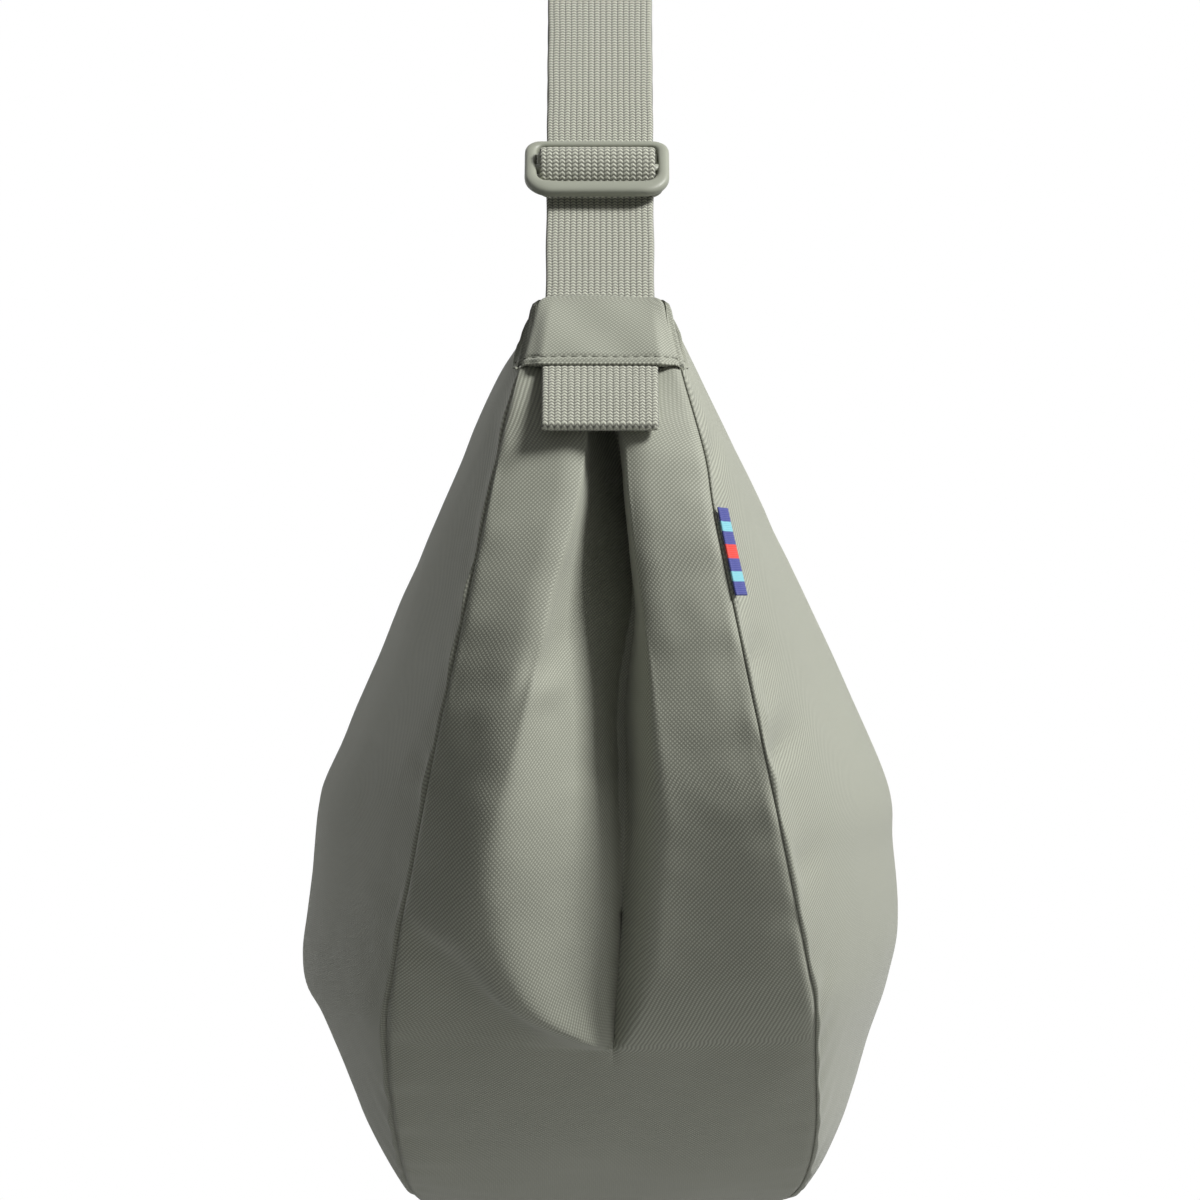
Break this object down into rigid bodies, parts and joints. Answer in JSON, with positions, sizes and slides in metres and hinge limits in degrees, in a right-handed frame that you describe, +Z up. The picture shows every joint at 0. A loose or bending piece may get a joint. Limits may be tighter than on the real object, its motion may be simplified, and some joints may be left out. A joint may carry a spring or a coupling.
{
  "type": "half moon shoulder bag",
  "caption": "Half moon shoulder bag with a zip top, wide tapered gusset, capped tips with webbing tabs, and a webbing strap with slider and ring.",
  "frame": {"origin": "middle of the flat underside of the strap's crown, where a hook or hand carries the bag", "axes": "+Z up, +Y along the zip from the near tip with the strap slider to the far tip with the ring, +X out of the front panel that carries the side label"},
  "size_m": [0.2258, 0.5214, 0.5209],
  "materials": {
    "cloth": "matte woven nylon, sage grey",
    "webbing": "ribbed woven webbing, sage grey",
    "moulded_plastic": "matte moulded",
    "zip_tape": "fine woven tape",
    "zip_coil": "matte nylon coil",
    "zip_metal": "satin painted",
    "label": "woven ribbon"
  },
  "bodies": {
    "strap": {"shoulder_strap": "webbing", "ring_strap": "webbing", "strap_ring": "moulded_plastic"},
    "slider": {"strap_slider": "moulded_plastic", "slider_wrap": "webbing"},
    "bag": {"front_panel": "cloth", "back_panel": "cloth", "gusset": "cloth", "near_end_cap": "cloth", "near_front_cap": "cloth", "near_back_cap": "cloth", "far_end_cap": "cloth", "far_front_cap": "cloth", "far_back_cap": "cloth", "near_strap_stub": "webbing", "far_strap_stub": "webbing", "near_tab": "webbing", "far_tab": "webbing", "side_label": "label", "front_zip_tape": "zip_tape", "back_zip_tape": "zip_tape", "front_zip_coil": "zip_coil", "back_zip_coil": "zip_coil", "near_zip_stop": "zip_metal", "far_zip_stop": "zip_metal"},
    "zip_slider_body": {"zip_slider": "zip_metal"},
    "zip_pull_body": {"zip_pull": "zip_metal"}
  },
  "joints": [
    {"name": "slider_slide", "type": "slide", "parent": "strap", "child": "slider", "axis": [0, 0.6744, 0.7384], "range_m": [-0.008, 0.155]},
    {"name": "bag_swing", "type": "hinge", "parent": "strap", "child": "bag", "pos_m": [0, 0, -0.18188], "axis": [0, 1, 0], "range_deg": [-40, 40]},
    {"name": "zip_slide", "type": "slide", "parent": "bag", "child": "zip_slider_body", "axis": [0, -1, 0], "range_m": [0, 0.268]},
    {"name": "pull_hinge", "type": "hinge", "parent": "zip_slider_body", "child": "zip_pull_body", "pos_m": [0, 0.134, -0.18413], "axis": [-1, 0, 0], "range_deg": [0, 175]}
  ]
}
